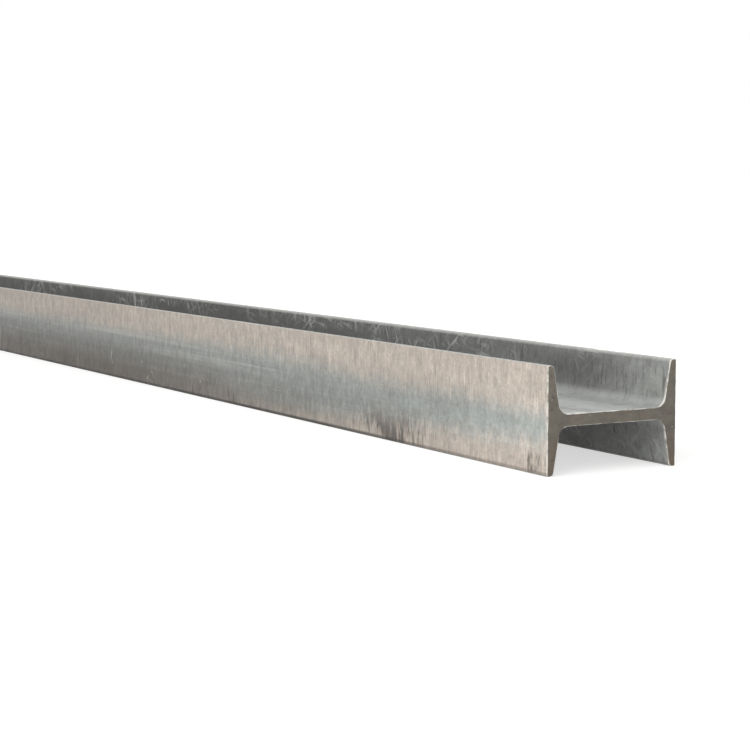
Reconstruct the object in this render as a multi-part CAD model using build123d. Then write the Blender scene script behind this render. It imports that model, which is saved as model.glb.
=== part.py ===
from build123d import *
import os

# One length of hot-rolled steel beam, in millimetres. It lies with its web level and stands on the
# toes of both flanges: length along Y, depth of section along X, width of flange along Z from the floor.

# Section and length of the stock
length = 6096.0
depth = 101.6
flange_width = 71.0
web_thickness = 8.3
# Flange thickness is taken half way along the overhang, from web face to toe
flange_thickness = 7.4
# The inner face of a flange rises by 1 in this many towards the web
flange_slope_run = 6.0

# Roll radii: root of web and flange, inner corner of a toe, outer corner of a toe
root_radius = 7.4
toe_radius = 2.9
corner_radius = 0.9

# Values that follow from the section
overhang = (flange_width - web_thickness) / 2
taper_rise = overhang / flange_slope_run
tip_thickness = flange_thickness - taper_rise / 2
root_thickness = flange_thickness + taper_rise / 2

# Each radius, no larger than the wall that carries it has room for
corner_fillet = min(corner_radius, tip_thickness / 4)
toe_fillet = min(toe_radius, tip_thickness - 2 * corner_fillet)
root_fillet = min(root_radius, overhang / 2)


def quarter_section():
    """A quarter of the section, with x across the depth and y across the flange width.

    It runs from the middle of the web out to one toe, and back along the outer face."""
    outer_face = depth / 2
    half_web = web_thickness / 2
    half_width = flange_width / 2
    with BuildSketch() as quarter:
        with BuildLine():
            Polyline(
                (0, 0),
                (outer_face, 0),
                (outer_face, half_width),
                (outer_face - tip_thickness, half_width),
                (outer_face - root_thickness, half_web),
                (0, half_web),
                close=True,
            )
        make_face()
        corners = quarter.vertices()
        outer_corner = corners.sort_by_distance((outer_face, half_width))[0]
        fillet(outer_corner, corner_fillet)
        toe = quarter.vertices().sort_by_distance((outer_face - tip_thickness, half_width))[0]
        fillet(toe, toe_fillet)
        root = quarter.vertices().sort_by_distance((outer_face - root_thickness, half_web))[0]
        fillet(root, root_fillet)
    return quarter.sketch


def beam_section():
    """The whole section: the quarter mirrored across the web, then across the depth."""
    quarter = quarter_section()
    half = quarter + mirror(quarter, about=Plane.XZ)
    return half + mirror(half, about=Plane.YZ)


def rolled_beam():
    """The section drawn out along the length, with its lower toes on the floor."""
    middle_height = flange_width / 2
    section_plane = Plane(origin=(0, length / 2, middle_height), x_dir=(1, 0, 0), z_dir=(0, -1, 0))
    return extrude(section_plane * beam_section(), amount=length)


os.makedirs("parts", exist_ok=True)
i_beam = rolled_beam()
i_beam.label = "i_beam"
export_step(i_beam, "parts/i_beam.step")

# Weight, to compare with the section's listed one
steel_density = 7850.0
cubic_mm_per_cubic_m = 1e9
mm_per_m = 1000.0
mass = i_beam.volume / cubic_mm_per_cubic_m * steel_density
print("flange", round(tip_thickness, 2), "mm at the toe,", round(root_thickness, 2), "mm at the root")
print("mass", round(mass, 1), "kg,", round(mass / length * mm_per_m, 2), "kg per metre")
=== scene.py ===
import math

import bmesh
import bpy
import numpy as np
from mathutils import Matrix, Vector


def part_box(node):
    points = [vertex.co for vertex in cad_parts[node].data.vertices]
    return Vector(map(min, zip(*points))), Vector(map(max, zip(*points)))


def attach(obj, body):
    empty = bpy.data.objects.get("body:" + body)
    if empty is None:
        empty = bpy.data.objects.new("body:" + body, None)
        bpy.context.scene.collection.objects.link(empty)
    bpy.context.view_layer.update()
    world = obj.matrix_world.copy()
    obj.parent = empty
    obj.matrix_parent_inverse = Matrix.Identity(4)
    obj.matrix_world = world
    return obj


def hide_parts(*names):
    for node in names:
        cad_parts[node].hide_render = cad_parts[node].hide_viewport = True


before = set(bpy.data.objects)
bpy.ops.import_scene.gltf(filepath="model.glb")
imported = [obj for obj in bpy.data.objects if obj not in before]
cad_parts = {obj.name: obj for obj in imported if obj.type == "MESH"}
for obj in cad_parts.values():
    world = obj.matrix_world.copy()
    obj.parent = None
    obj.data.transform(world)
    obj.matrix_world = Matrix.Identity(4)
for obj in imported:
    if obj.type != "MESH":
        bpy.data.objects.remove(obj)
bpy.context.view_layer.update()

bl_info = {
    "name": "Rolled Steel Beam",
    "version": (1, 0, 0),
    "blender": (4, 5, 0),
    "location": "3D View > Sidebar > Steel Beam",
    "description": "Rolls one steel beam with tapered flanges and mill scale, saws its ends and lights it",
    "category": "Add Mesh",
}

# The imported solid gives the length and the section's outer sizes, in metres
LOWEST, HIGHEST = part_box("i_beam")
MIDDLE_HEIGHT = (LOWEST.z + HIGHEST.z) / 2
MILLIMETRE = 0.001

# Sockets of the Mix, Map Range and Random Value nodes, which are told apart by number
COLOUR_SHARE, COLOUR_FIRST, COLOUR_SECOND, COLOUR_RESULT = 0, 6, 7, 2
VALUE_SHARE, VALUE_FIRST, VALUE_SECOND = 0, 2, 3
RANGE_VALUE, RANGE_LOW, RANGE_HIGH, RANGE_BOTTOM, RANGE_TOP = range(5)
RANDOM_POINT_LOW, RANDOM_POINT_HIGH, RANDOM_NUMBER_LOW, RANDOM_NUMBER_HIGH = range(4)
RANDOM_POINT, RANDOM_NUMBER = range(2)


def tone(red, green, blue):
    """A colour as a paint chart gives it, from 0 to 255, in the linear values that shaders use."""
    linear = []
    for level in (red, green, blue):
        share = level / 255.0
        if share <= 0.04045:
            linear.append(share / 12.92)
        else:
            linear.append(((share + 0.055) / 1.055) ** 2.4)
    return tuple(linear)


def size_property(name, description, default):
    """A length that the user can change."""
    return bpy.props.FloatProperty(
        name=name, description=description, default=default, min=0.0, precision=5,
        subtype="DISTANCE", unit="LENGTH")


def count_property(name, description, default):
    """A count that the user can change."""
    return bpy.props.IntProperty(name=name, description=description, default=default, min=20)


def level_property(name, description, default):
    """A light level that the user can change."""
    return bpy.props.FloatProperty(name=name, description=description, default=default, min=0.0)


def colour_property(name, description, default):
    """A finish colour that the user can change."""
    return bpy.props.FloatVectorProperty(
        name=name, description=description, default=default, size=3, min=0.0, max=1.0,
        subtype="COLOR")


class BeamSizes(bpy.types.PropertyGroup):
    """Sizes of the rolled section, of its length and of its sawn ends."""
    length: size_property("Length", "Length of the beam", HIGHEST.y - LOWEST.y)
    depth: size_property("Depth", "Distance over both flanges", HIGHEST.x - LOWEST.x)
    width: size_property("Flange width", "Width of a flange from toe to toe", HIGHEST.z - LOWEST.z)
    web: size_property("Web thickness", "Thickness of the web", 8.3 * MILLIMETRE)
    flange: size_property("Flange thickness", "Thickness half way out to the toe", 7.4 * MILLIMETRE)
    slope_run: bpy.props.FloatProperty(
        name="Slope run", description="The inner flange face rises by one in this many",
        default=6.0, min=2.0)
    root: size_property("Root radius", "Fillet between web and flange", 7.4 * MILLIMETRE)
    toe: size_property("Toe radius", "Round on the inner corner of a toe", 2.9 * MILLIMETRE)
    corner: size_property("Corner radius", "Round on the outer corner of a toe", 0.9 * MILLIMETRE)
    stations: count_property("Stations", "Sections along the beam, closer near the ends", 470)
    crowding: bpy.props.FloatProperty(
        name="Crowding", description="How much closer the sections stand near the ends",
        default=0.9, min=0.0, max=0.97, subtype="FACTOR")
    rim_inset: size_property("Rim inset", "How far the cut breaks in across the edge", 0.6 * MILLIMETRE)
    rim_reach: size_property("Rim reach", "How far the cut breaks in along the beam", 1.7 * MILLIMETRE)
    wave: size_property("Roll wave", "Depth of the mill's waviness", 0.22 * MILLIMETRE)
    nick: size_property("Nick depth", "Deepest handling nick on a toe", 0.7 * MILLIMETRE)
    bead: size_property("Burr bead", "Radius of the burr left along the cut", 0.26 * MILLIMETRE)
    bead_points: count_property("Bead points", "Points along each burr bead", 1100)
    crumb: size_property("Burr crumb", "Largest crumb left on the burr", 0.42 * MILLIMETRE)
    crumbs: count_property("Crumbs", "Places along each burr where a crumb may sit", 420)
    seed: bpy.props.IntProperty(name="Seed", description="Start of the random patterns", default=7)


class BeamColours(bpy.types.PropertyGroup):
    """Colours of mill scale, of the sawn face and of bare metal."""
    cool: colour_property("Cool scale", "Blue grey scale along the middle of a flange", tone(151, 155, 152))
    warm: colour_property("Warm scale", "Beige scale along both edges", tone(188, 177, 166))
    pale: colour_property("Pale streak", "Pale streaks where rolls rubbed the scale", tone(196, 198, 194))
    smudge: colour_property("Smudge", "Dark marks near the edges", tone(66, 61, 55))
    # Painted contact shadow: colour of the dark line along the lowest edge, where the beam meets the floor
    painted_contact_shade: colour_property("Floor dirt", "Dirt along the lowest edge", tone(40, 37, 33))
    # Partly a browner scale and partly painted shade: darkens the lower half of the outer faces away from
    # the ends
    brown: colour_property("Brown scale", "Duller scale away from the ends", tone(88, 81, 74))
    # Partly the scale's own dark tone and partly painted shade, darkened for the shade inside the flanges
    inner: colour_property("Inner scale", "Dark scale inside the flanges", tone(67, 67, 63))
    web: colour_property("Web scale", "Scale on the web", tone(172, 174, 172))
    toe: colour_property("Toe scale", "Scale on the toes", tone(168, 165, 158))
    # Partly the cut's own dull tone and partly painted shade, darkened for the shade on the ends
    sawn: colour_property("Sawn face", "Cut across the section", tone(106, 100, 90))
    rust: colour_property("Rust", "Young rust on the cut", tone(122, 98, 78))
    bare: colour_property("Bare metal", "Bright metal on burrs and rims", tone(228, 225, 218))


class StageLook(bpy.types.PropertyGroup):
    """Floor, lights and lens."""
    floor: colour_property("Floor", "Colour of the plain floor", tone(204, 204, 203))
    lens: bpy.props.FloatProperty(
        name="Lens", description="Focal length of the camera", default=92.0, min=10.0,
        unit="CAMERA")
    sky: level_property("Sky level", "Strength of the even light", 0.58)
    key: level_property("Key level", "Strength of the soft main light", 0.78)
    fill: level_property("Fill level", "Strength of the light from behind", 0.45)
    lamp: level_property("Lamp level", "Power of the lamp by the near end, in watts", 11.0)
    floor_lift: level_property("Floor lift", "How far the floor is lifted to white", 0.6)


class Board:
    """A node tree with short ways to add the nodes that shapes and finishes share."""

    # How far one patch of a pattern lies from the next, along X, Y and Z
    patch_step = (1.0, 0.7, 1.3)

    def __init__(self, tree):
        self.tree = tree
        self.place = None

    def put(self, kind, values=None, **settings):
        """Adds a node. A socket among the values is linked, and anything else is written."""
        made = self.tree.nodes.new(kind)
        for name, setting in settings.items():
            setattr(made, name, setting)
        for key, value in (values or {}).items():
            if isinstance(value, bpy.types.NodeSocket):
                self.tree.links.new(value, made.inputs[key])
            else:
                made.inputs[key].default_value = value
        return made

    def maths(self, operation, *values, clamp=False):
        """One step of arithmetic."""
        made = self.put("ShaderNodeMath", dict(enumerate(values)), operation=operation, use_clamp=clamp)
        return made.outputs[0]

    def plus(self, total, *others):
        """The values added up."""
        for other in others:
            total = self.maths("ADD", total, other)
        return total

    def times(self, product, *others):
        """The values multiplied together."""
        for other in others:
            product = self.maths("MULTIPLY", product, other)
        return product

    def minus(self, first, second):
        """The second value taken from the first."""
        return self.maths("SUBTRACT", first, second)

    def about(self, grain, amount):
        """A grain's rise and fall about its middle, in that amount."""
        return self.times(self.minus(grain, 0.5), amount)

    def ramp(self, value, low, high, bottom=0.0, top=1.0):
        """Value eased from bottom to top while it goes from low to high."""
        made = self.put("ShaderNodeMapRange", {
            RANGE_VALUE: value, RANGE_LOW: low, RANGE_HIGH: high, RANGE_BOTTOM: bottom, RANGE_TOP: top,
        }, interpolation_type="SMOOTHSTEP")
        return made.outputs[0]

    def line(self, value, level, thickness):
        """One where value is within thickness of level, which draws thin curved marks."""
        return self.ramp(self.maths("ABSOLUTE", self.minus(value, level)), 0.0, thickness, 1.0, 0.0)

    def between(self, share, first, second):
        """A value that goes from first to second with its share."""
        return self.put("ShaderNodeMix", {VALUE_SHARE: share, VALUE_FIRST: first, VALUE_SECOND: second},
                        data_type="FLOAT").outputs[0]

    def point(self, x=0.0, y=0.0, z=0.0):
        """A point from its three coordinates."""
        return self.put("ShaderNodeCombineXYZ", {"X": x, "Y": y, "Z": z}).outputs[0]

    def added(self, first, second):
        """Two points added."""
        return self.put("ShaderNodeVectorMath", {0: first, 1: second}, operation="ADD").outputs[0]

    def scaled(self, vector, level):
        """A direction made longer or a colour made lighter by a level."""
        return self.put("ShaderNodeVectorMath", {0: vector, "Scale": level}, operation="SCALE").outputs[0]

    def waves(self, place, repeats, seed, detail=2.0):
        """Noise from 0 to 1 for a shape, with that many waves a metre along X, Y and Z."""
        spread = self.put("ShaderNodeVectorMath", {0: place, 1: repeats}, operation="MULTIPLY").outputs[0]
        return self.put("ShaderNodeTexNoise", {
            "Vector": spread, "W": seed, "Scale": 1.0, "Detail": detail,
        }, noise_dimensions="4D").outputs[0]

    def stretched(self, repeats, patch):
        """The finish's coordinates with that many repeats a metre along X, Y and Z, on a patch."""
        return self.put("ShaderNodeMapping", {
            "Vector": self.place, "Location": [patch * step for step in self.patch_step], "Scale": repeats,
        }).outputs[0]

    def grain(self, repeats, patch, detail=2.0, roughness=0.5):
        """Noise from 0 to 1 for a finish, with that many grains a metre along X, Y and Z."""
        return self.put("ShaderNodeTexNoise", {
            "Vector": self.stretched(repeats, patch), "Scale": 1.0, "Detail": detail, "Roughness": roughness,
        }).outputs[0]

    def strokes(self, lean, repeats, patch):
        """Noise drawn out into strokes that lean by an angle about X, with that many a metre."""
        leaning = self.put("ShaderNodeMapping", {
            "Vector": self.place, "Location": (patch, patch, patch), "Rotation": (lean, 0.0, 0.0),
            "Scale": [1.0 / many for many in repeats],
        }, vector_type="TEXTURE").outputs[0]
        return self.put("ShaderNodeTexNoise", {
            "Vector": leaning, "Scale": 1.0, "Detail": 2.0, "Roughness": 0.6, "Distortion": 0.5,
        }).outputs[0]

    def cells(self, repeats, patch):
        """Scattered cells: the distance from a cell's centre, and the cell's own three random values."""
        made = self.put("ShaderNodeTexVoronoi", {"Vector": self.stretched(repeats, patch), "Scale": 1.0})
        split = self.put("ShaderNodeSeparateColor", {0: made.outputs["Color"]})
        return made.outputs["Distance"], split.outputs

    def coated(self, colour, share, coat):
        """A colour with a coat over that share of it."""
        made = self.put("ShaderNodeMix", {
            COLOUR_SHARE: share, COLOUR_FIRST: colour_value(colour), COLOUR_SECOND: colour_value(coat),
        }, data_type="RGBA")
        return made.outputs[COLOUR_RESULT]

    def mark(self, name):
        """A value that the mesh carries under that name."""
        return self.put("ShaderNodeAttribute", attribute_name=name).outputs["Fac"]


def colour_value(colour):
    """A socket as it is, and a colour with its alpha."""
    if isinstance(colour, bpy.types.NodeSocket):
        return colour
    return (*colour, 1.0)


def clean_board(owner):
    """The board of a material or a world, with its first nodes cleared away."""
    owner.use_nodes = True
    owner.node_tree.nodes.clear()
    return Board(owner.node_tree)


# The section

# Marks a point carries: outer face, toe, inner face. The web has none of them.
OUTER = (1.0, 0.0, 0.0)
TOE = (0.0, 1.0, 0.0)
INNER = (0.0, 0.0, 1.0)
WEB = (0.0, 0.0, 0.0)
MARK_NAMES = ("outer_face", "toe_edge", "inner_face")

# Steps along each stretch of a quarter of the section
STRETCH_STEPS = {"outer": 7, "corner": 4, "toe_flat": 2, "toe": 6, "slope": 6, "root": 7, "web": 5}


def run(start, end, stretch, out, marks):
    """Points along a straight face, without its last one: place, outward direction and marks."""
    start = Vector(start)
    end = Vector(end)
    steps = STRETCH_STEPS[stretch]
    return [(start.lerp(end, i / steps), Vector(out), marks) for i in range(steps)]


def arc(centre, radius, first, last, stretch, hollow, before, after):
    """Points along an arc, without its last one. Angles are in radians from X towards Z."""
    points = []
    steps = STRETCH_STEPS[stretch]
    for i in range(steps):
        share = i / steps
        angle = first + (last - first) * share
        out = Vector((math.cos(angle), math.sin(angle)))
        marks = tuple(old + (new - old) * share for old, new in zip(before, after))
        points.append((Vector(centre) + out * radius, -out if hollow else out, marks))
    return points


def quarter_points(sizes):
    """A quarter of the section, from the middle of an outer face round the toe to the middle of the web."""
    outer = sizes.depth / 2
    half = sizes.width / 2
    half_web = sizes.web / 2
    slope = math.atan(1.0 / sizes.slope_run)
    overhang = half - half_web
    tip = sizes.flange - overhang * math.tan(slope) / 2
    toe_x = outer - tip

    # Centre of the toe round, a radius from the toe and from the sloping face
    toe_centre = (toe_x + sizes.toe * (1 - math.sin(slope)) / math.cos(slope), half - sizes.toe)
    # Centre of the root fillet, a radius from the sloping face and from the web
    root_z = half_web + sizes.root
    root_x = toe_x - (sizes.root + (half - root_z) * math.sin(slope)) / math.cos(slope)
    corner_centre = (outer - sizes.corner, half - sizes.corner)

    away = (-math.cos(slope), math.sin(slope))
    toe_end = (toe_centre[0] + away[0] * sizes.toe, toe_centre[1] + away[1] * sizes.toe)
    root_start = (root_x - away[0] * sizes.root, root_z - away[1] * sizes.root)
    quarter_turn = math.pi / 2

    points = run((outer, 0), (outer, corner_centre[1]), "outer", (1, 0), OUTER)
    points += arc(corner_centre, sizes.corner, 0, quarter_turn, "corner", False, OUTER, TOE)
    points += run((corner_centre[0], half), (toe_centre[0], half), "toe_flat", (0, 1), TOE)
    points += arc(toe_centre, sizes.toe, quarter_turn, math.pi - slope, "toe", False, TOE, INNER)
    points += run(toe_end, root_start, "slope", away, INNER)
    points += arc((root_x, root_z), sizes.root, -slope, -quarter_turn, "root", True, INNER, WEB)
    points += run((root_x, half_web), (0, half_web), "web", (0, 1), WEB)
    points.append((Vector((0, half_web)), Vector((0, 1)), WEB))
    return points


def flipped(points, across, up):
    """The same points mirrored across the depth, up the width, or both."""
    def mirrored(spot):
        return Vector((spot.x * across, spot.y * up))
    return [(mirrored(place), mirrored(out), marks) for place, out, marks in points]


def section_points(sizes):
    """The whole section as one loop that starts at the middle of an outer face and ends there."""
    quarter = quarter_points(sizes)
    loop = list(quarter)
    loop += flipped(quarter, -1, 1)[-2::-1]
    loop += flipped(quarter, -1, -1)[1:]
    loop += flipped(quarter, 1, -1)[-2::-1]
    return loop


def section_mesh(sizes):
    """The loop as a line mesh at the beam's own height, with its marks, for the tree to read."""
    loop = section_points(sizes)
    places = [(place.x, 0.0, place.y + MIDDLE_HEIGHT) for place, _, _ in loop]
    edges = [(i, i + 1) for i in range(len(places) - 1)]
    mesh = bpy.data.meshes.new("beam_section")
    mesh.from_pydata(places, edges, [])
    out = mesh.attributes.new("out", "FLOAT_VECTOR", "POINT")
    out.data.foreach_set("vector", [part for _, away, _ in loop for part in (away.x, 0.0, away.y)])
    for i, name in enumerate(MARK_NAMES):
        mark = mesh.attributes.new(name, "FLOAT", "POINT")
        mark.data.foreach_set("value", [marks[i] for _, _, marks in loop])
    return mesh


# The shape trees

# Waves a metre along X, Y and Z of the ragged cut, the mill's waviness, the nicks and the burr
RAG_WAVES = (190.0, 3.0, 190.0)
ROLL_WAVES = (14.0, 2.6, 22.0)
NICK_WAVES = (30.0, 34.0, 30.0)
BEAD_WAVES = (240.0, 3.0, 240.0)
CRUMB_WAVES = (90.0, 3.0, 90.0)

# The ragged step behind a cut fades out over this length of the beam
RAG_FADE = 14 * MILLIMETRE

# A crumb's size is a random share of the largest one's, from this share up
SMALLEST_CRUMB = 0.3
CRUMB_SIZE_SEED = 3
CRUMB_TURN_SEED = 5


def new_shape_tree(name, numbers, counts, finishes):
    """A Geometry Nodes tree with named inputs. Returns its board and its input sockets by name."""
    tree = bpy.data.node_groups.new(name, "GeometryNodeTree")
    tree.interface.new_socket("Geometry", in_out="INPUT", socket_type="NodeSocketGeometry")
    for labels, kind in ((numbers, "NodeSocketFloat"), (counts, "NodeSocketInt"),
                         (finishes, "NodeSocketMaterial")):
        for label in labels:
            tree.interface.new_socket(label, in_out="INPUT", socket_type=kind)
    tree.interface.new_socket("Geometry", in_out="OUTPUT", socket_type="NodeSocketGeometry")
    board = Board(tree)
    entry = board.put("NodeGroupInput")
    return board, {socket.name: socket for socket in entry.outputs if socket.name}


def real_geometry(board, geometry, finish):
    """Geometry with no instances left in it, that carries a finish."""
    real = board.put("GeometryNodeRealizeInstances", {"Geometry": geometry}).outputs[0]
    return board.put("GeometryNodeSetMaterial", {"Geometry": real, "Material": finish}).outputs[0]


def plain_mesh(name, start, board, values):
    """Runs a tree on the start mesh and returns the result as a plain mesh object."""
    worker = bpy.data.objects.new(name + "_worker", start)
    bpy.context.scene.collection.objects.link(worker)
    modifier = worker.modifiers.new("shape", "NODES")
    modifier.node_group = board.tree
    named = {item.name: item.identifier for item in board.tree.interface.items_tree
             if item.in_out == "INPUT"}
    for label, value in values.items():
        modifier[named[label]] = value
    result = worker.evaluated_get(bpy.context.evaluated_depsgraph_get())
    mesh = bpy.data.meshes.new_from_object(result)
    mesh.name = name
    worker.modifiers.remove(modifier)
    bpy.data.objects.remove(worker)
    piece = bpy.data.objects.new(name, mesh)
    bpy.context.scene.collection.objects.link(piece)
    return piece


def roll_tree():
    """The tree that draws the section along the beam and breaks the edges of both cuts."""
    board, given = new_shape_tree(
        "roll_beam",
        ("Length", "Crowding", "Rim inset", "Rim reach", "Roll wave", "Nick depth", "Seed"),
        ("Stations", "Section points"), ("Scale finish", "Rim finish"))
    grid = board.put("GeometryNodeMeshGrid", {
        "Vertices X": given["Stations"], "Vertices Y": given["Section points"]}).outputs["Mesh"]

    # Which section a point is on, and which point of the loop it is
    index = board.put("GeometryNodeInputIndex").outputs[0]
    station = board.maths("FLOOR", board.maths("DIVIDE", board.plus(index, 0.5), given["Section points"]))
    column = board.minus(index, board.times(station, given["Section points"]))

    def sampled(value, kind):
        """What the section loop holds at this point's place in the loop."""
        made = board.put("GeometryNodeSampleIndex", data_type=kind, domain="POINT")
        for key, source in (("Geometry", given["Geometry"]), ("Value", value), ("Index", column)):
            board.tree.links.new(source, made.inputs[key])
        return made.outputs[0]

    def named(name, kind):
        """A named attribute of the section loop."""
        return board.put("GeometryNodeInputNamedAttribute", {"Name": name}, data_type=kind).outputs[0]

    place = sampled(board.put("GeometryNodeInputPosition").outputs[0], "FLOAT_VECTOR")
    out = sampled(named("out", "FLOAT_VECTOR"), "FLOAT_VECTOR")
    marks = {name: sampled(named(name, "FLOAT"), "FLOAT") for name in MARK_NAMES}

    # Share of the length, with both first and both last sections at the cuts
    share = board.maths("DIVIDE", board.minus(station, 1.0), board.minus(given["Stations"], 3.0), clamp=True)
    turn = board.maths("SINE", board.times(share, math.tau))
    crowded = board.maths("DIVIDE", board.times(turn, given["Crowding"]), math.tau)
    plain_y = board.times(board.minus(board.minus(share, crowded), 0.5), given["Length"])
    half_length = board.times(given["Length"], 0.5)
    side = board.maths("SIGN", plain_y)

    # The skin starts a ragged step behind each cut
    from_cut = board.minus(half_length, board.maths("ABSOLUTE", plain_y))
    near_cut = board.ramp(from_cut, 0.0, RAG_FADE, 1.0, 0.0)
    end_point = board.added(place, board.point(y=side))
    ragged = board.ramp(board.waves(end_point, RAG_WAVES, given["Seed"], 4.0), 0.3, 0.7, 0.3, 1.0)
    skin_y = board.minus(plain_y, board.times(given["Rim reach"], ragged, near_cut, side))

    is_first = board.maths("LESS_THAN", station, 0.5)
    is_last = board.maths("GREATER_THAN", station, board.minus(given["Stations"], 1.5))
    on_cut = board.plus(is_first, is_last)
    final_y = board.between(on_cut, skin_y, board.times(side, half_length))

    # Inward only: the mill's wave, the nicks on the toes, and the inset of each cut's outline
    spot = board.added(place, board.point(y=skin_y))
    wave = board.times(board.waves(spot, ROLL_WAVES, given["Seed"]), given["Roll wave"])
    chip = board.ramp(board.waves(spot, NICK_WAVES, given["Seed"], 3.0), 0.6, 0.78)
    nick = board.times(chip, marks["toe_edge"], given["Nick depth"])
    inset = board.times(given["Rim inset"], ragged, on_cut)
    inward = board.scaled(out, board.times(board.plus(wave, nick, inset), -1.0))
    flat = board.put("ShaderNodeSeparateXYZ", {0: place}).outputs
    placed = board.added(board.point(flat[0], final_y, flat[2]), inward)

    # Marks go on first, while the grid still lies flat
    shape = grid
    for name, value in marks.items():
        stored = board.put("GeometryNodeStoreNamedAttribute", {"Geometry": shape, "Name": name},
                           data_type="FLOAT", domain="POINT")
        board.tree.links.new(value, stored.inputs["Value"])
        shape = stored.outputs[0]
    shape = board.put("GeometryNodeSetPosition", {"Geometry": shape, "Position": placed}).outputs[0]
    shape = real_geometry(board, shape, given["Scale finish"])

    # A face's own station is the mean of its corners, half way to the next one
    before_last = board.maths("GREATER_THAN", station, board.minus(given["Stations"], 2.0))
    in_rim = board.plus(board.maths("LESS_THAN", station, 1.0), before_last)
    rims = board.put("GeometryNodeSetMaterial", {
        "Geometry": shape, "Selection": in_rim, "Material": given["Rim finish"]}).outputs[0]
    board.put("NodeGroupOutput", {"Geometry": rims})
    return board


def burr_tree():
    """The tree that runs a bead of uneven thickness and loose crumbs along a cut's edge."""
    board, given = new_shape_tree(
        "cut_burr", ("Bead radius", "Crumb size", "Seed"), ("Bead points", "Crumbs"), ("Finish",))
    edge = board.put("GeometryNodeMeshToCurve", {"Mesh": given["Geometry"]}).outputs[0]
    place = board.put("GeometryNodeInputPosition").outputs[0]

    fine = board.put("GeometryNodeResampleCurve", {"Curve": edge, "Count": given["Bead points"]}).outputs[0]
    uneven = board.ramp(board.waves(place, BEAD_WAVES, given["Seed"], 3.0), 0.35, 0.7, 0.25, 1.0)
    ring = board.put("GeometryNodeCurvePrimitiveCircle", {"Resolution": 5, "Radius": 1.0}).outputs[0]
    bead = board.put("GeometryNodeCurveToMesh", {
        "Curve": fine, "Profile Curve": ring, "Scale": board.times(uneven, given["Bead radius"]),
    }).outputs[0]

    coarse = board.put("GeometryNodeResampleCurve", {"Curve": edge, "Count": given["Crumbs"]}).outputs[0]
    crumb = board.put("GeometryNodeMeshIcoSphere", {"Radius": 0.5, "Subdivisions": 1}).outputs[0]
    size = board.put("FunctionNodeRandomValue", {
        RANDOM_NUMBER_LOW: SMALLEST_CRUMB, RANDOM_NUMBER_HIGH: 1.0, "Seed": CRUMB_SIZE_SEED,
    }, data_type="FLOAT").outputs[RANDOM_NUMBER]
    turned = board.put("FunctionNodeRandomValue", {
        RANDOM_POINT_LOW: (0.0,) * 3, RANDOM_POINT_HIGH: (math.pi,) * 3, "Seed": CRUMB_TURN_SEED,
    }, data_type="FLOAT_VECTOR").outputs[RANDOM_POINT]
    chosen = board.maths("GREATER_THAN", board.waves(place, CRUMB_WAVES, given["Seed"]), 0.5)
    spread = board.put("GeometryNodeInstanceOnPoints", {
        "Points": coarse, "Selection": chosen, "Instance": crumb, "Rotation": turned,
        "Scale": board.times(size, given["Crumb size"]),
    }).outputs[0]

    both = board.put("GeometryNodeJoinGeometry")
    for part in (bead, spread):
        board.tree.links.new(part, both.inputs[0])
    board.put("NodeGroupOutput", {"Geometry": real_geometry(board, both.outputs[0], given["Finish"])})
    return board


# The finishes

def new_finish(name):
    """An empty material. Returns it with its board and its shader."""
    material = bpy.data.materials.new(name)
    board = clean_board(material)
    shader = board.put("ShaderNodeBsdfPrincipled")
    board.put("ShaderNodeOutputMaterial", {"Surface": shader.outputs[0]})
    board.place = board.put("ShaderNodeTexCoord").outputs["Object"]
    return material, board, shader


def dress(board, shader, colour, rough, metallic):
    """Gives a shader its colour, its roughness and its share of metal."""
    board.tree.links.new(colour, shader.inputs["Base Color"])
    board.tree.links.new(rough, shader.inputs["Roughness"])
    shader.inputs["Metallic"].default_value = metallic


def emboss(board, shader, relief, strength, depth):
    """Gives a shader fine relief of that depth."""
    bump = board.put("ShaderNodeBump", {"Height": relief, "Strength": strength, "Distance": depth})
    board.tree.links.new(bump.outputs[0], shader.inputs["Normal"])


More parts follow.
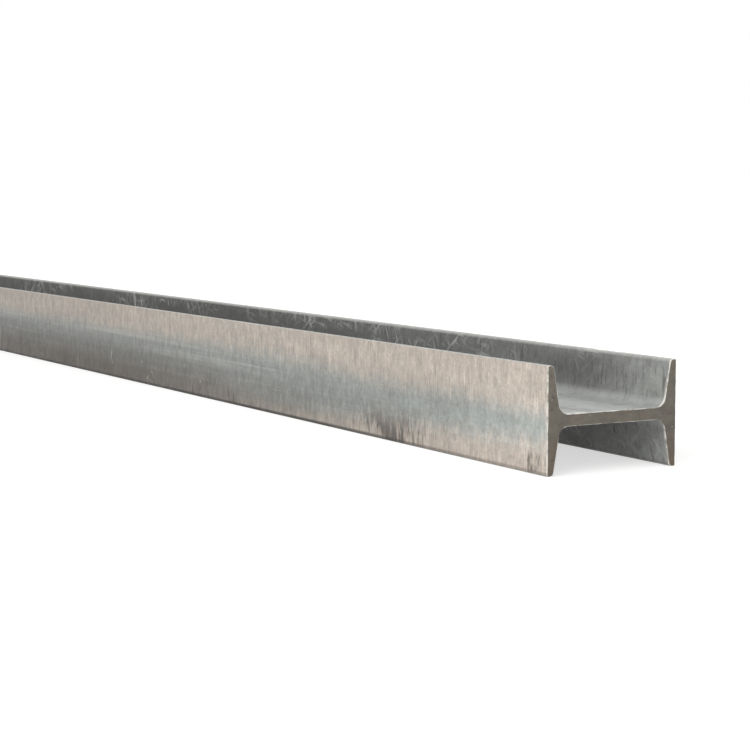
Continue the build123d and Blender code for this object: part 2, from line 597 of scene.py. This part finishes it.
def outer_scale(board, colours, along, height):
    """Colour of an outer flange face, beige along both edges and cool and rubbed along the middle, with
    painted light by the cuts and painted shade away from them.

    Along is in metres from the nearer cut, and height is a share of the flange width.
    Returns the colour and its upright streaks."""
    cool_height = 0.43
    streak = board.grain((40.0, 640.0, 55.0), 1.0, 3.0, 0.65)
    fray = board.grain((40.0, 150.0, 34.0), 9.0)
    wander = board.grain((20.0, 3.2, 26.0), 4.0, 3.0)
    middle = board.maths("ABSOLUTE", board.minus(height, cool_height))
    edge = board.plus(middle, board.times(wander, 0.3), board.times(fray, 0.2), board.times(streak, 0.22),
                      board.ramp(along, 0.0, 0.34, 0.13, 0.0))
    warm = board.ramp(edge, 0.46, 0.78)
    colour = board.coated(colours.cool, warm, colours.warm)

    # Long pale rubs from the rolls, strongest in the middle
    rubs = board.ramp(board.grain((30.0, 2.6, 190.0), 2.0, 5.0, 0.65), 0.48, 0.7, 0.0, 0.42)
    colour = board.coated(colour, board.times(rubs, board.ramp(warm, 0.2, 0.9, 1.0, 0.3)), colours.pale)

    # The lower half turns browner and darker away from the ends: partly a browner scale, partly painted
    # shade from the floor
    brown_and_painted_shade = board.times(board.ramp(height, 0.74, 0.1), board.ramp(along, 0.0, 0.75, 0.0, 0.94),
                       board.ramp(along, 1.3, 2.3, 1.0, 0.5))
    colour = board.coated(colour, brown_and_painted_shade, colours.brown)

    # Upright streaks, patchy along the beam, and finer ones drawn along it
    patchy = board.ramp(board.grain((20.0, 22.0, 34.0), 6.0, 3.0), 0.36, 0.64, 0.15, 1.0)
    upright = board.times(board.about(streak, patchy), board.ramp(warm, 0.0, 1.0, 0.4, 1.6),
                          board.ramp(along, 0.2, 1.0, 1.0, 0.45))
    drawn = board.about(board.grain((30.0, 1.8, 130.0), 44.0, 3.0, 0.6),
                        board.ramp(warm, 0.1, 0.9, 0.5, 0.12))
    dapple = board.about(board.grain((60.0, 150.0, 70.0), 7.0, 3.5, 0.7), 0.75)

    # Painted light, paler by the cuts, and painted shade, darker away from them
    painted_end_light = board.times(board.ramp(along, 0.0, 0.16, 0.17, 0.0), board.ramp(middle, 0.0, 0.4, 2.2, 0.7))
    # The last ramp is painted shade that darkens the face away from the cuts
    level = board.plus(upright, board.about(fray, 0.22), drawn, dapple, painted_end_light,
                       board.ramp(along, 0.1, 1.05, 1.0, 0.79))
    return board.scaled(colour, level), streak


def inner_scale(board, colours, along):
    """Colour of an inner flange face: dark scale, partly painted shade, with crossed pale scuffs, darker
    away from the cut and with painted light near it.
    """
    tint = board.coated(colours.inner, board.grain((30.0, 8.0, 40.0), 12.0, 4.0), colours.web)
    # Painted shade: more of the dark inner colour away from the cut
    colour = board.coated(tint, board.ramp(along, 0.02, 0.7, 0.4, 0.9), colours.inner)

    crossed = 0.0
    for lean, patch in ((0.9, 13.0), (-0.75, 17.0), (0.2, 23.0)):
        scuffs = board.ramp(board.strokes(lean, (30.0, 40.0, 300.0), patch), 0.54, 0.72)
        crossed = board.maths("MAXIMUM", crossed, scuffs)
    where = board.ramp(board.grain((10.0, 12.0, 30.0), 29.0, 3.0), 0.4, 0.66, 0.0, 0.5)
    colour = board.coated(colour, board.times(crossed, where), colours.pale)

    # Painted light: paler near the open cut
    painted_light_near_cut = board.times(board.ramp(along, 0.0, 0.11, 0.8, 0.0),
                       board.grain((20.0, 120.0, 60.0), 31.0, 5.0, 0.7))
    colour = board.coated(colour, painted_light_near_cut, colours.pale)
    dark = board.ramp(board.strokes(1.35, (30.0, 60.0, 300.0), 37.0), 0.56, 0.7, 0.0, 0.5)
    return board.coated(colour, dark, colours.smudge)


def web_scale(board, colours):
    """Colour of the web: pale scale with lighter lines drawn along it and a little soot."""
    drawn = board.ramp(board.grain((240.0, 3.0, 120.0), 41.0, 3.0, 0.6), 0.42, 0.7, 0.0, 0.6)
    colour = board.coated(colours.web, drawn, colours.pale)
    soot = board.ramp(board.grain((26.0, 9.0, 30.0), 43.0, 4.0, 0.6), 0.54, 0.76, 0.0, 0.4)
    return board.coated(colour, soot, colours.smudge)


def with_smudges(board, colour, colours, height, on_outer):
    """A colour with dark upright smudges low on the outer faces."""
    brush = board.plus(board.grain((30.0, 14.0, 16.0), 57.0),
                       board.times(board.grain((30.0, 230.0, 58.0), 59.0, 3.0, 0.6), 0.85))
    smudges = board.times(board.ramp(brush, 0.97, 1.17, 0.0, 0.84), board.ramp(height, 0.42, 0.06), on_outer)
    return board.coated(colour, smudges, colours.smudge)


def with_knocks(board, colour, colours, along, on_outer):
    """A colour with handling marks: small bright knocks, thin pale uprights and curled knocks."""
    distance, picks = board.cells((46.0, 46.0, 46.0), 61.0)
    knock = board.times(board.ramp(distance, 0.05, 0.11, 1.0, 0.0),
                        board.maths("GREATER_THAN", picks[0], 0.62), 0.3)
    thin = board.line(board.grain((8.0, 16.0, 5.0), 67.0, 1.0), 0.5, 0.0035)
    rare = board.ramp(board.grain((9.0, 9.0, 20.0), 71.0), 0.58, 0.64)
    colour = board.coated(colour, board.maths("MAXIMUM", knock, board.times(thin, rare, 0.75)), colours.pale)

    # A curled knock has a pale lip beside a darker hollow
    distance, picks = board.cells((70.0, 62.0, 50.0), 73.0)
    kept = board.times(board.maths("GREATER_THAN", picks[1], 0.84), on_outer,
                       board.ramp(along, 0.4, 1.0, 1.0, 0.35))
    broken = board.ramp(board.grain((120.0, 120.0, 90.0), 79.0, 1.0), 0.45, 0.6)
    lip = board.times(board.line(distance, 0.27, 0.07), broken, kept, 0.34)
    hollow = board.times(board.line(distance, 0.16, 0.1), kept, 0.22)
    return board.coated(board.coated(colour, lip, colours.pale), hollow, colours.smudge)


def make_scale_finish(colours):
    """Mill scale over the whole rolled skin, with a colour for each face of the section."""
    material, board, shader = new_finish("mill_scale")
    axes = board.put("ShaderNodeSeparateXYZ", {0: board.place}).outputs
    height = board.maths("DIVIDE", board.minus(axes[2], LOWEST.z), HIGHEST.z - LOWEST.z)
    along = board.minus(HIGHEST.y, board.maths("ABSOLUTE", axes[1]))
    on_outer = board.mark("outer_face")

    outer, streak = outer_scale(board, colours, along, height)
    toe = board.coated(colours.toe, board.grain((90.0, 40.0, 90.0), 47.0, 4.0), colours.pale)
    colour = board.coated(web_scale(board, colours), board.mark("inner_face"),
                          inner_scale(board, colours, along))
    colour = board.coated(colour, on_outer, outer)
    colour = board.coated(colour, board.mark("toe_edge"), toe)

    # Mottle, blotches and grit over every face
    mottle = board.grain((48.0, 60.0, 60.0), 51.0, 4.0, 0.6)
    blotch = board.grain((230.0, 270.0, 200.0), 52.0)
    grit = board.grain((700.0, 700.0, 700.0), 53.0)
    cloud = board.plus(board.about(mottle, 0.5), board.about(blotch, 0.46), board.about(grit, 0.5), 1.0)
    colour = board.scaled(colour, cloud)
    colour = with_smudges(board, colour, colours, height, on_outer)
    colour = with_knocks(board, colour, colours, along, on_outer)

    # Painted contact shadow: a dark line where the section meets the floor, fainter by the cuts
    painted_contact_shadow = board.times(board.ramp(axes[2], 3.4 * MILLIMETRE, 1.6 * MILLIMETRE, 0.0, 0.94),
                       board.ramp(along, 0.04, 0.34, 0.45, 1.0))
    colour = board.coated(colour, painted_contact_shadow, colours.painted_contact_shade)

    fine = board.times(streak, 0.5)
    dress(board, shader, colour, board.ramp(board.plus(mottle, fine), 0.4, 1.05, 0.36, 0.6), metallic=0.3)
    emboss(board, shader, board.plus(fine, blotch, mottle), strength=0.35, depth=0.25 * MILLIMETRE)
    return material


def make_sawn_finish(colours):
    """The sawn ends: dull olive grey, darkened in part as painted shade, darker towards the bottom, with
    faint blade arcs, browner toes and a few rust specks.
    """
    material, board, shader = new_finish("sawn_face")
    height = board.put("ShaderNodeSeparateXYZ", {0: board.place}).outputs[2]
    smear = board.grain((80.0, 8.0, 190.0), 3.0, 5.0, 0.65)
    cloud = board.grain((110.0, 70.0, 120.0), 8.0, 4.0, 0.65)
    scratch = board.grain((40.0, 8.0, 800.0), 6.0, 2.0, 0.6)
    level = board.plus(board.times(smear, 0.8), board.times(cloud, 1.2), board.times(scratch, 0.35),
                       board.ramp(height, 0.0, HIGHEST.z, -0.3, -0.02))
    colour = board.scaled(tuple(colours.sawn), level)

    # The blade turned about an axis beside the beam and below it
    blade_centre = Vector((-0.21, 0.0, -0.3))
    blade = board.put("ShaderNodeMapping", {
        "Vector": board.place, "Location": -blade_centre, "Scale": (1.0, 0.0, 1.0)}).outputs[0]
    arcs = board.put("ShaderNodeTexWave", {
        "Vector": blade, "Scale": 420.0, "Distortion": 5.0, "Detail": 3.0, "Detail Scale": 0.3,
    }, wave_type="RINGS", rings_direction="SPHERICAL").outputs["Fac"]
    colour = board.coated(colour, board.ramp(arcs, 0.3, 1.0, 0.0, 0.07), colours.pale)

    # Rust stain on the lower toes, then dark spots, rust freckles and pale flecks
    stain = board.times(board.ramp(height, 0.03, 0.004), board.grain((90.0, 20.0, 60.0), 14.0, 3.0), 0.7)
    colour = board.coated(colour, stain, colours.rust)
    spots = board.ramp(board.grain((220.0, 60.0, 220.0), 19.0, 3.0), 0.6, 0.76, 0.0, 0.42)
    colour = board.coated(colour, spots, colours.smudge)
    freckles = board.ramp(board.grain((150.0, 60.0, 150.0), 27.0), 0.66, 0.74, 0.0, 0.8)
    colour = board.coated(colour, freckles, colours.rust)
    flecks = board.ramp(board.grain((300.0, 60.0, 460.0), 33.0), 0.64, 0.8, 0.0, 0.28)
    colour = board.coated(colour, flecks, colours.pale)

    dress(board, shader, colour, board.ramp(smear, 0.3, 0.75, 0.42, 0.62), metallic=0.35)
    emboss(board, shader, board.plus(board.times(arcs, 0.5), smear), strength=0.3, depth=0.2 * MILLIMETRE)
    return material


def make_bare_finish(colours):
    """Bright metal where the saw broke out over the edge."""
    material, board, shader = new_finish("bare_metal")
    patch = board.ramp(board.grain((140.0, 60.0, 110.0), 5.0, 4.0, 0.65), 0.46, 0.66, 0.0, 0.72)
    colour = board.coated(colours.bare, patch, colours.sawn)
    rough = board.ramp(board.grain((500.0, 500.0, 500.0), 11.0), 0.3, 0.7, 0.3, 0.5)
    dress(board, shader, colour, rough, metallic=0.4)
    return material


FINISHES = {"mill_scale": make_scale_finish, "sawn_face": make_sawn_finish, "bare_metal": make_bare_finish}


def finish_named(name, colours):
    """A finish that several pieces share, made once."""
    return bpy.data.materials.get(name) or FINISHES[name](colours)


# The pieces

# The UV map has the skin in strips one above the other, and both cuts side by side above them
STRIPS = 4
STRIP_HEIGHT = 0.2
STRIP_MARGIN = 0.004
CUT_BOTTOM = 0.82
CUT_LEFT = {-1: 0.1, 1: 0.6}
CUT_SCALE_ACROSS = 2.85
CUT_SCALE_UP = 1.9

SEAM_REACH = 0.01 * MILLIMETRE
SHARP_ANGLE = math.radians(28)
BURR_CLEARANCE = 0.05 * MILLIMETRE
BURR_SIDES = {"near_cut_burr": -1, "far_cut_burr": 1}


def lay_out_skin(mesh, stations, columns):
    """A UV map of the skin in strips, one for each quarter of the length."""
    places = np.zeros(len(mesh.vertices) * 3, np.float32)
    mesh.vertices.foreach_get("co", places)
    places = places.reshape(stations, columns, 3)
    section = places[2][:, [0, 2]]
    girth = np.concatenate([[0.0], np.cumsum(np.linalg.norm(np.diff(section, axis=0), axis=1))])
    girth /= girth[-1]
    along = places[:, :, 1].mean(axis=1)
    targets = np.linspace(along[0], along[-1], STRIPS + 1)
    borders = np.array([int(np.abs(along - target).argmin()) for target in targets])

    corners = np.zeros(len(mesh.loops), np.int32)
    mesh.loops.foreach_get("vertex_index", corners)
    corner_station = corners // columns
    corner_column = corners % columns
    first_station = corner_station.reshape(-1, 4).min(axis=1).repeat(4)
    strip = np.clip(np.searchsorted(borders, first_station, side="right") - 1, 0, STRIPS - 1)
    start = along[borders[strip]]
    end = along[borders[strip + 1]]
    across = (along[corner_station] - start) / (end - start)
    up = girth[corner_column]
    u = STRIP_MARGIN + across * (1 - 2 * STRIP_MARGIN)
    v = strip * STRIP_HEIGHT + STRIP_MARGIN + up * (STRIP_HEIGHT - 2 * STRIP_MARGIN)
    uv_map = mesh.uv_layers.new(name="OFBake")
    uv_map.data.foreach_set("uv", np.stack([u, v], axis=1).astype(np.float32).ravel())


def cap_cuts(mesh, sawn_slot):
    """Closes the seam along the loop, fills both cuts and lays them out beside the skin."""
    work = bmesh.new()
    work.from_mesh(mesh)
    bmesh.ops.remove_doubles(work, verts=work.verts, dist=SEAM_REACH)
    uv_map = work.loops.layers.uv["OFBake"]
    open_edges = [edge for edge in work.edges if edge.is_boundary]
    for side, left in CUT_LEFT.items():
        rim = [edge for edge in open_edges if edge.verts[0].co.y * side > 0]
        for face in bmesh.ops.contextual_create(work, geom=rim)["faces"]:
            face.material_index = sawn_slot
            face.smooth = False
            for corner in face.loops:
                across = (corner.vert.co.x - LOWEST.x) * CUT_SCALE_ACROSS
                up = (corner.vert.co.z - LOWEST.z) * CUT_SCALE_UP
                corner[uv_map].uv = (left + across, CUT_BOTTOM + up)
    bmesh.ops.recalc_face_normals(work, faces=work.faces)
    left_open = [edge for edge in work.edges if not edge.is_manifold]
    if left_open:
        raise RuntimeError(f"the rolled beam has {len(left_open)} open edges")
    work.to_mesh(mesh)
    work.free()


class BEAM_OT_roll(bpy.types.Operator):
    """Roll the beam: draw its section along the length, break its edges and finish it"""
    bl_idname = "beam.roll"
    bl_label = "Roll Beam"

    def execute(self, context):
        sizes = context.scene.beam_sizes
        colours = context.scene.beam_colours
        section = section_mesh(sizes)
        columns = len(section.vertices)
        piece = plain_mesh("rolled_beam", section, roll_tree(), {
            "Length": sizes.length, "Stations": sizes.stations, "Section points": columns,
            "Crowding": sizes.crowding, "Rim inset": sizes.rim_inset, "Rim reach": sizes.rim_reach,
            "Roll wave": sizes.wave, "Nick depth": sizes.nick, "Seed": float(sizes.seed),
            "Scale finish": finish_named("mill_scale", colours),
            "Rim finish": finish_named("bare_metal", colours),
        })
        mesh = piece.data
        lay_out_skin(mesh, sizes.stations, columns)
        mesh.materials.append(finish_named("sawn_face", colours))
        cap_cuts(mesh, len(mesh.materials) - 1)
        mesh.shade_smooth()
        mesh.set_sharp_from_angle(angle=SHARP_ANGLE)
        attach(piece, "root")
        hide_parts("i_beam")
        return {"FINISHED"}


class BEAM_OT_burr(bpy.types.Operator):
    """Leave the burr that the saw raised along the edge of each cut"""
    bl_idname = "beam.burr"
    bl_label = "Leave Burrs"

    def execute(self, context):
        sizes = context.scene.beam_sizes
        colours = context.scene.beam_colours
        board = burr_tree()
        inward = max(sizes.bead, sizes.crumb / 2) + BURR_CLEARANCE
        for name, side in BURR_SIDES.items():
            edge = section_mesh(sizes)
            out = [list(item.vector) for item in edge.attributes["out"].data]
            for vertex, direction in zip(edge.vertices, out):
                vertex.co = vertex.co - Vector(direction) * inward
                vertex.co.y = side * (sizes.length / 2 - inward)
            piece = plain_mesh(name, edge, board, {
                "Bead radius": sizes.bead, "Crumb size": sizes.crumb, "Bead points": sizes.bead_points,
                "Crumbs": sizes.crumbs, "Seed": float(sizes.seed + side),
                "Finish": finish_named("bare_metal", colours),
            })
            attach(piece, "root")
        return {"FINISHED"}


# The stage

WHITE = (1.0, 1.0, 1.0, 1.0)

# The viewpoint and the line of sight, in metres, with the beam's near end to the right
VIEWPOINT = (-0.7327, -4.0397, 0.183)
LINE_OF_SIGHT = (0.4933, 0.8779, -0.0991)
SENSOR_WIDTH = 36.0
NEAREST_SEEN = 0.02
FARTHEST_SEEN = 400.0

FLOOR_REACH = 60.0
FLOOR_GAP = 0.05 * MILLIMETRE

# Directions in which the two soft lights shine, and how wide they look
KEY_DIRECTION = (0.78, 0.3, -0.62)
FILL_DIRECTION = (-0.7, -0.45, -0.5)
LIGHT_SPREAD = math.radians(40)

LAMP_PLACE = (-1.5, -3.8, 1.1)
LAMP_LENGTH = 1.5
LAMP_HEIGHT = 1.0


def placed_object(scene, name, data):
    """An object that holds the data, linked to the scene."""
    made = bpy.data.objects.new(name, data)
    scene.collection.objects.link(made)
    return made


def turned_along(direction):
    """The turn that points a light or a camera along a direction."""
    return Vector(direction).to_track_quat("-Z", "Y")


def seen_directly(board):
    """One for rays from the camera, from gloss and from glass, which all meet a white studio."""
    path = board.put("ShaderNodeLightPath").outputs
    seen = board.maths("MAXIMUM", path["Is Camera Ray"], path["Is Glossy Ray"])
    return board.maths("MAXIMUM", seen, path["Is Transmission Ray"])


def set_camera(scene, look):
    """A camera near one end, a little above the beam, looking along it."""
    data = bpy.data.cameras.new("camera")
    data.lens = look.lens
    data.sensor_width = SENSOR_WIDTH
    data.clip_start = NEAREST_SEEN
    data.clip_end = FARTHEST_SEEN
    camera = placed_object(scene, "camera", data)
    camera.location = VIEWPOINT
    camera.rotation_mode = "QUATERNION"
    camera.rotation_quaternion = turned_along(LINE_OF_SIGHT)
    scene.camera = camera


def set_floor(scene, look):
    """A wide pale floor, lifted to white where it is seen, which keeps the beam's shadow."""
    corners = [(x * FLOOR_REACH, y * FLOOR_REACH, 0) for x, y in ((-1, -1), (1, -1), (1, 1), (-1, 1))]
    mesh = bpy.data.meshes.new("floor")
    mesh.from_pydata(corners, [], [range(len(corners))])
    floor = placed_object(scene, "floor", mesh)
    floor.location.z = -FLOOR_GAP

    material = bpy.data.materials.new("pale_floor")
    board = clean_board(material)
    matt = board.put("ShaderNodeBsdfDiffuse", {"Color": colour_value(look.floor)}).outputs[0]
    strength = board.times(seen_directly(board), look.floor_lift)
    lift = board.put("ShaderNodeEmission", {"Color": WHITE, "Strength": strength}).outputs[0]
    both = board.put("ShaderNodeAddShader", {0: matt, 1: lift}).outputs[0]
    board.put("ShaderNodeOutputMaterial", {"Surface": both})
    mesh.materials.append(material)


def set_lights(scene, look):
    """Even light from all round, a soft key and fill, and a lamp over the near end."""
    world = bpy.data.worlds.new("studio")
    board = clean_board(world)
    level = board.between(seen_directly(board), look.sky, 1.0)
    sky = board.put("ShaderNodeBackground", {"Color": WHITE, "Strength": level}).outputs[0]
    board.put("ShaderNodeOutputWorld", {"Surface": sky})
    scene.world = world

    for name, level, direction in (("key", look.key, KEY_DIRECTION), ("fill", look.fill, FILL_DIRECTION)):
        data = bpy.data.lights.new(name, "SUN")
        data.energy = level
        data.angle = LIGHT_SPREAD
        placed_object(scene, name, data).rotation_euler = turned_along(direction).to_euler()

    data = bpy.data.lights.new("lamp", "AREA")
    data.shape = "RECTANGLE"
    data.size = LAMP_LENGTH
    data.size_y = LAMP_HEIGHT
    data.energy = look.lamp
    lamp = placed_object(scene, "lamp", data)
    lamp.location = LAMP_PLACE
    near_end = Vector((0.0, LOWEST.y, MIDDLE_HEIGHT))
    lamp.rotation_euler = turned_along(near_end - lamp.location).to_euler()


class BEAM_OT_stage(bpy.types.Operator):
    """Set the floor, the soft lights and the camera"""
    bl_idname = "beam.stage"
    bl_label = "Set Stage"

    def execute(self, context):
        look = context.scene.beam_stage
        scene = context.scene
        scene.view_settings.view_transform = "Standard"
        set_camera(scene, look)
        set_floor(scene, look)
        set_lights(scene, look)
        return {"FINISHED"}


STEPS = (BEAM_OT_roll, BEAM_OT_burr, BEAM_OT_stage)


class BEAM_PT_panel(bpy.types.Panel):
    """The beam's sizes, colours and steps in the sidebar"""
    bl_idname = "BEAM_PT_panel"
    bl_label = "Steel Beam"
    bl_space_type = "VIEW_3D"
    bl_region_type = "UI"
    bl_category = "Steel Beam"

    def draw(self, context):
        layout = self.layout
        for group in (context.scene.beam_sizes, context.scene.beam_colours, context.scene.beam_stage):
            box = layout.box()
            for name in group.__annotations__:
                box.prop(group, name)
        for step in STEPS:
            layout.operator(step.bl_idname)


CLASSES = (BeamSizes, BeamColours, StageLook, *STEPS, BEAM_PT_panel)


def register():
    """Registers the classes and gives the scene its three groups of settings."""
    for item in CLASSES:
        bpy.utils.register_class(item)
    bpy.types.Scene.beam_sizes = bpy.props.PointerProperty(type=BeamSizes)
    bpy.types.Scene.beam_colours = bpy.props.PointerProperty(type=BeamColours)
    bpy.types.Scene.beam_stage = bpy.props.PointerProperty(type=StageLook)


def unregister():
    """Takes the settings and the classes away again."""
    del bpy.types.Scene.beam_stage
    del bpy.types.Scene.beam_colours
    del bpy.types.Scene.beam_sizes
    for item in reversed(CLASSES):
        bpy.utils.unregister_class(item)


def main():
    """Makes the whole scene."""
    register()
    bpy.ops.beam.roll()
    bpy.ops.beam.burr()
    bpy.ops.beam.stage()


if __name__ == "__main__":
    main()
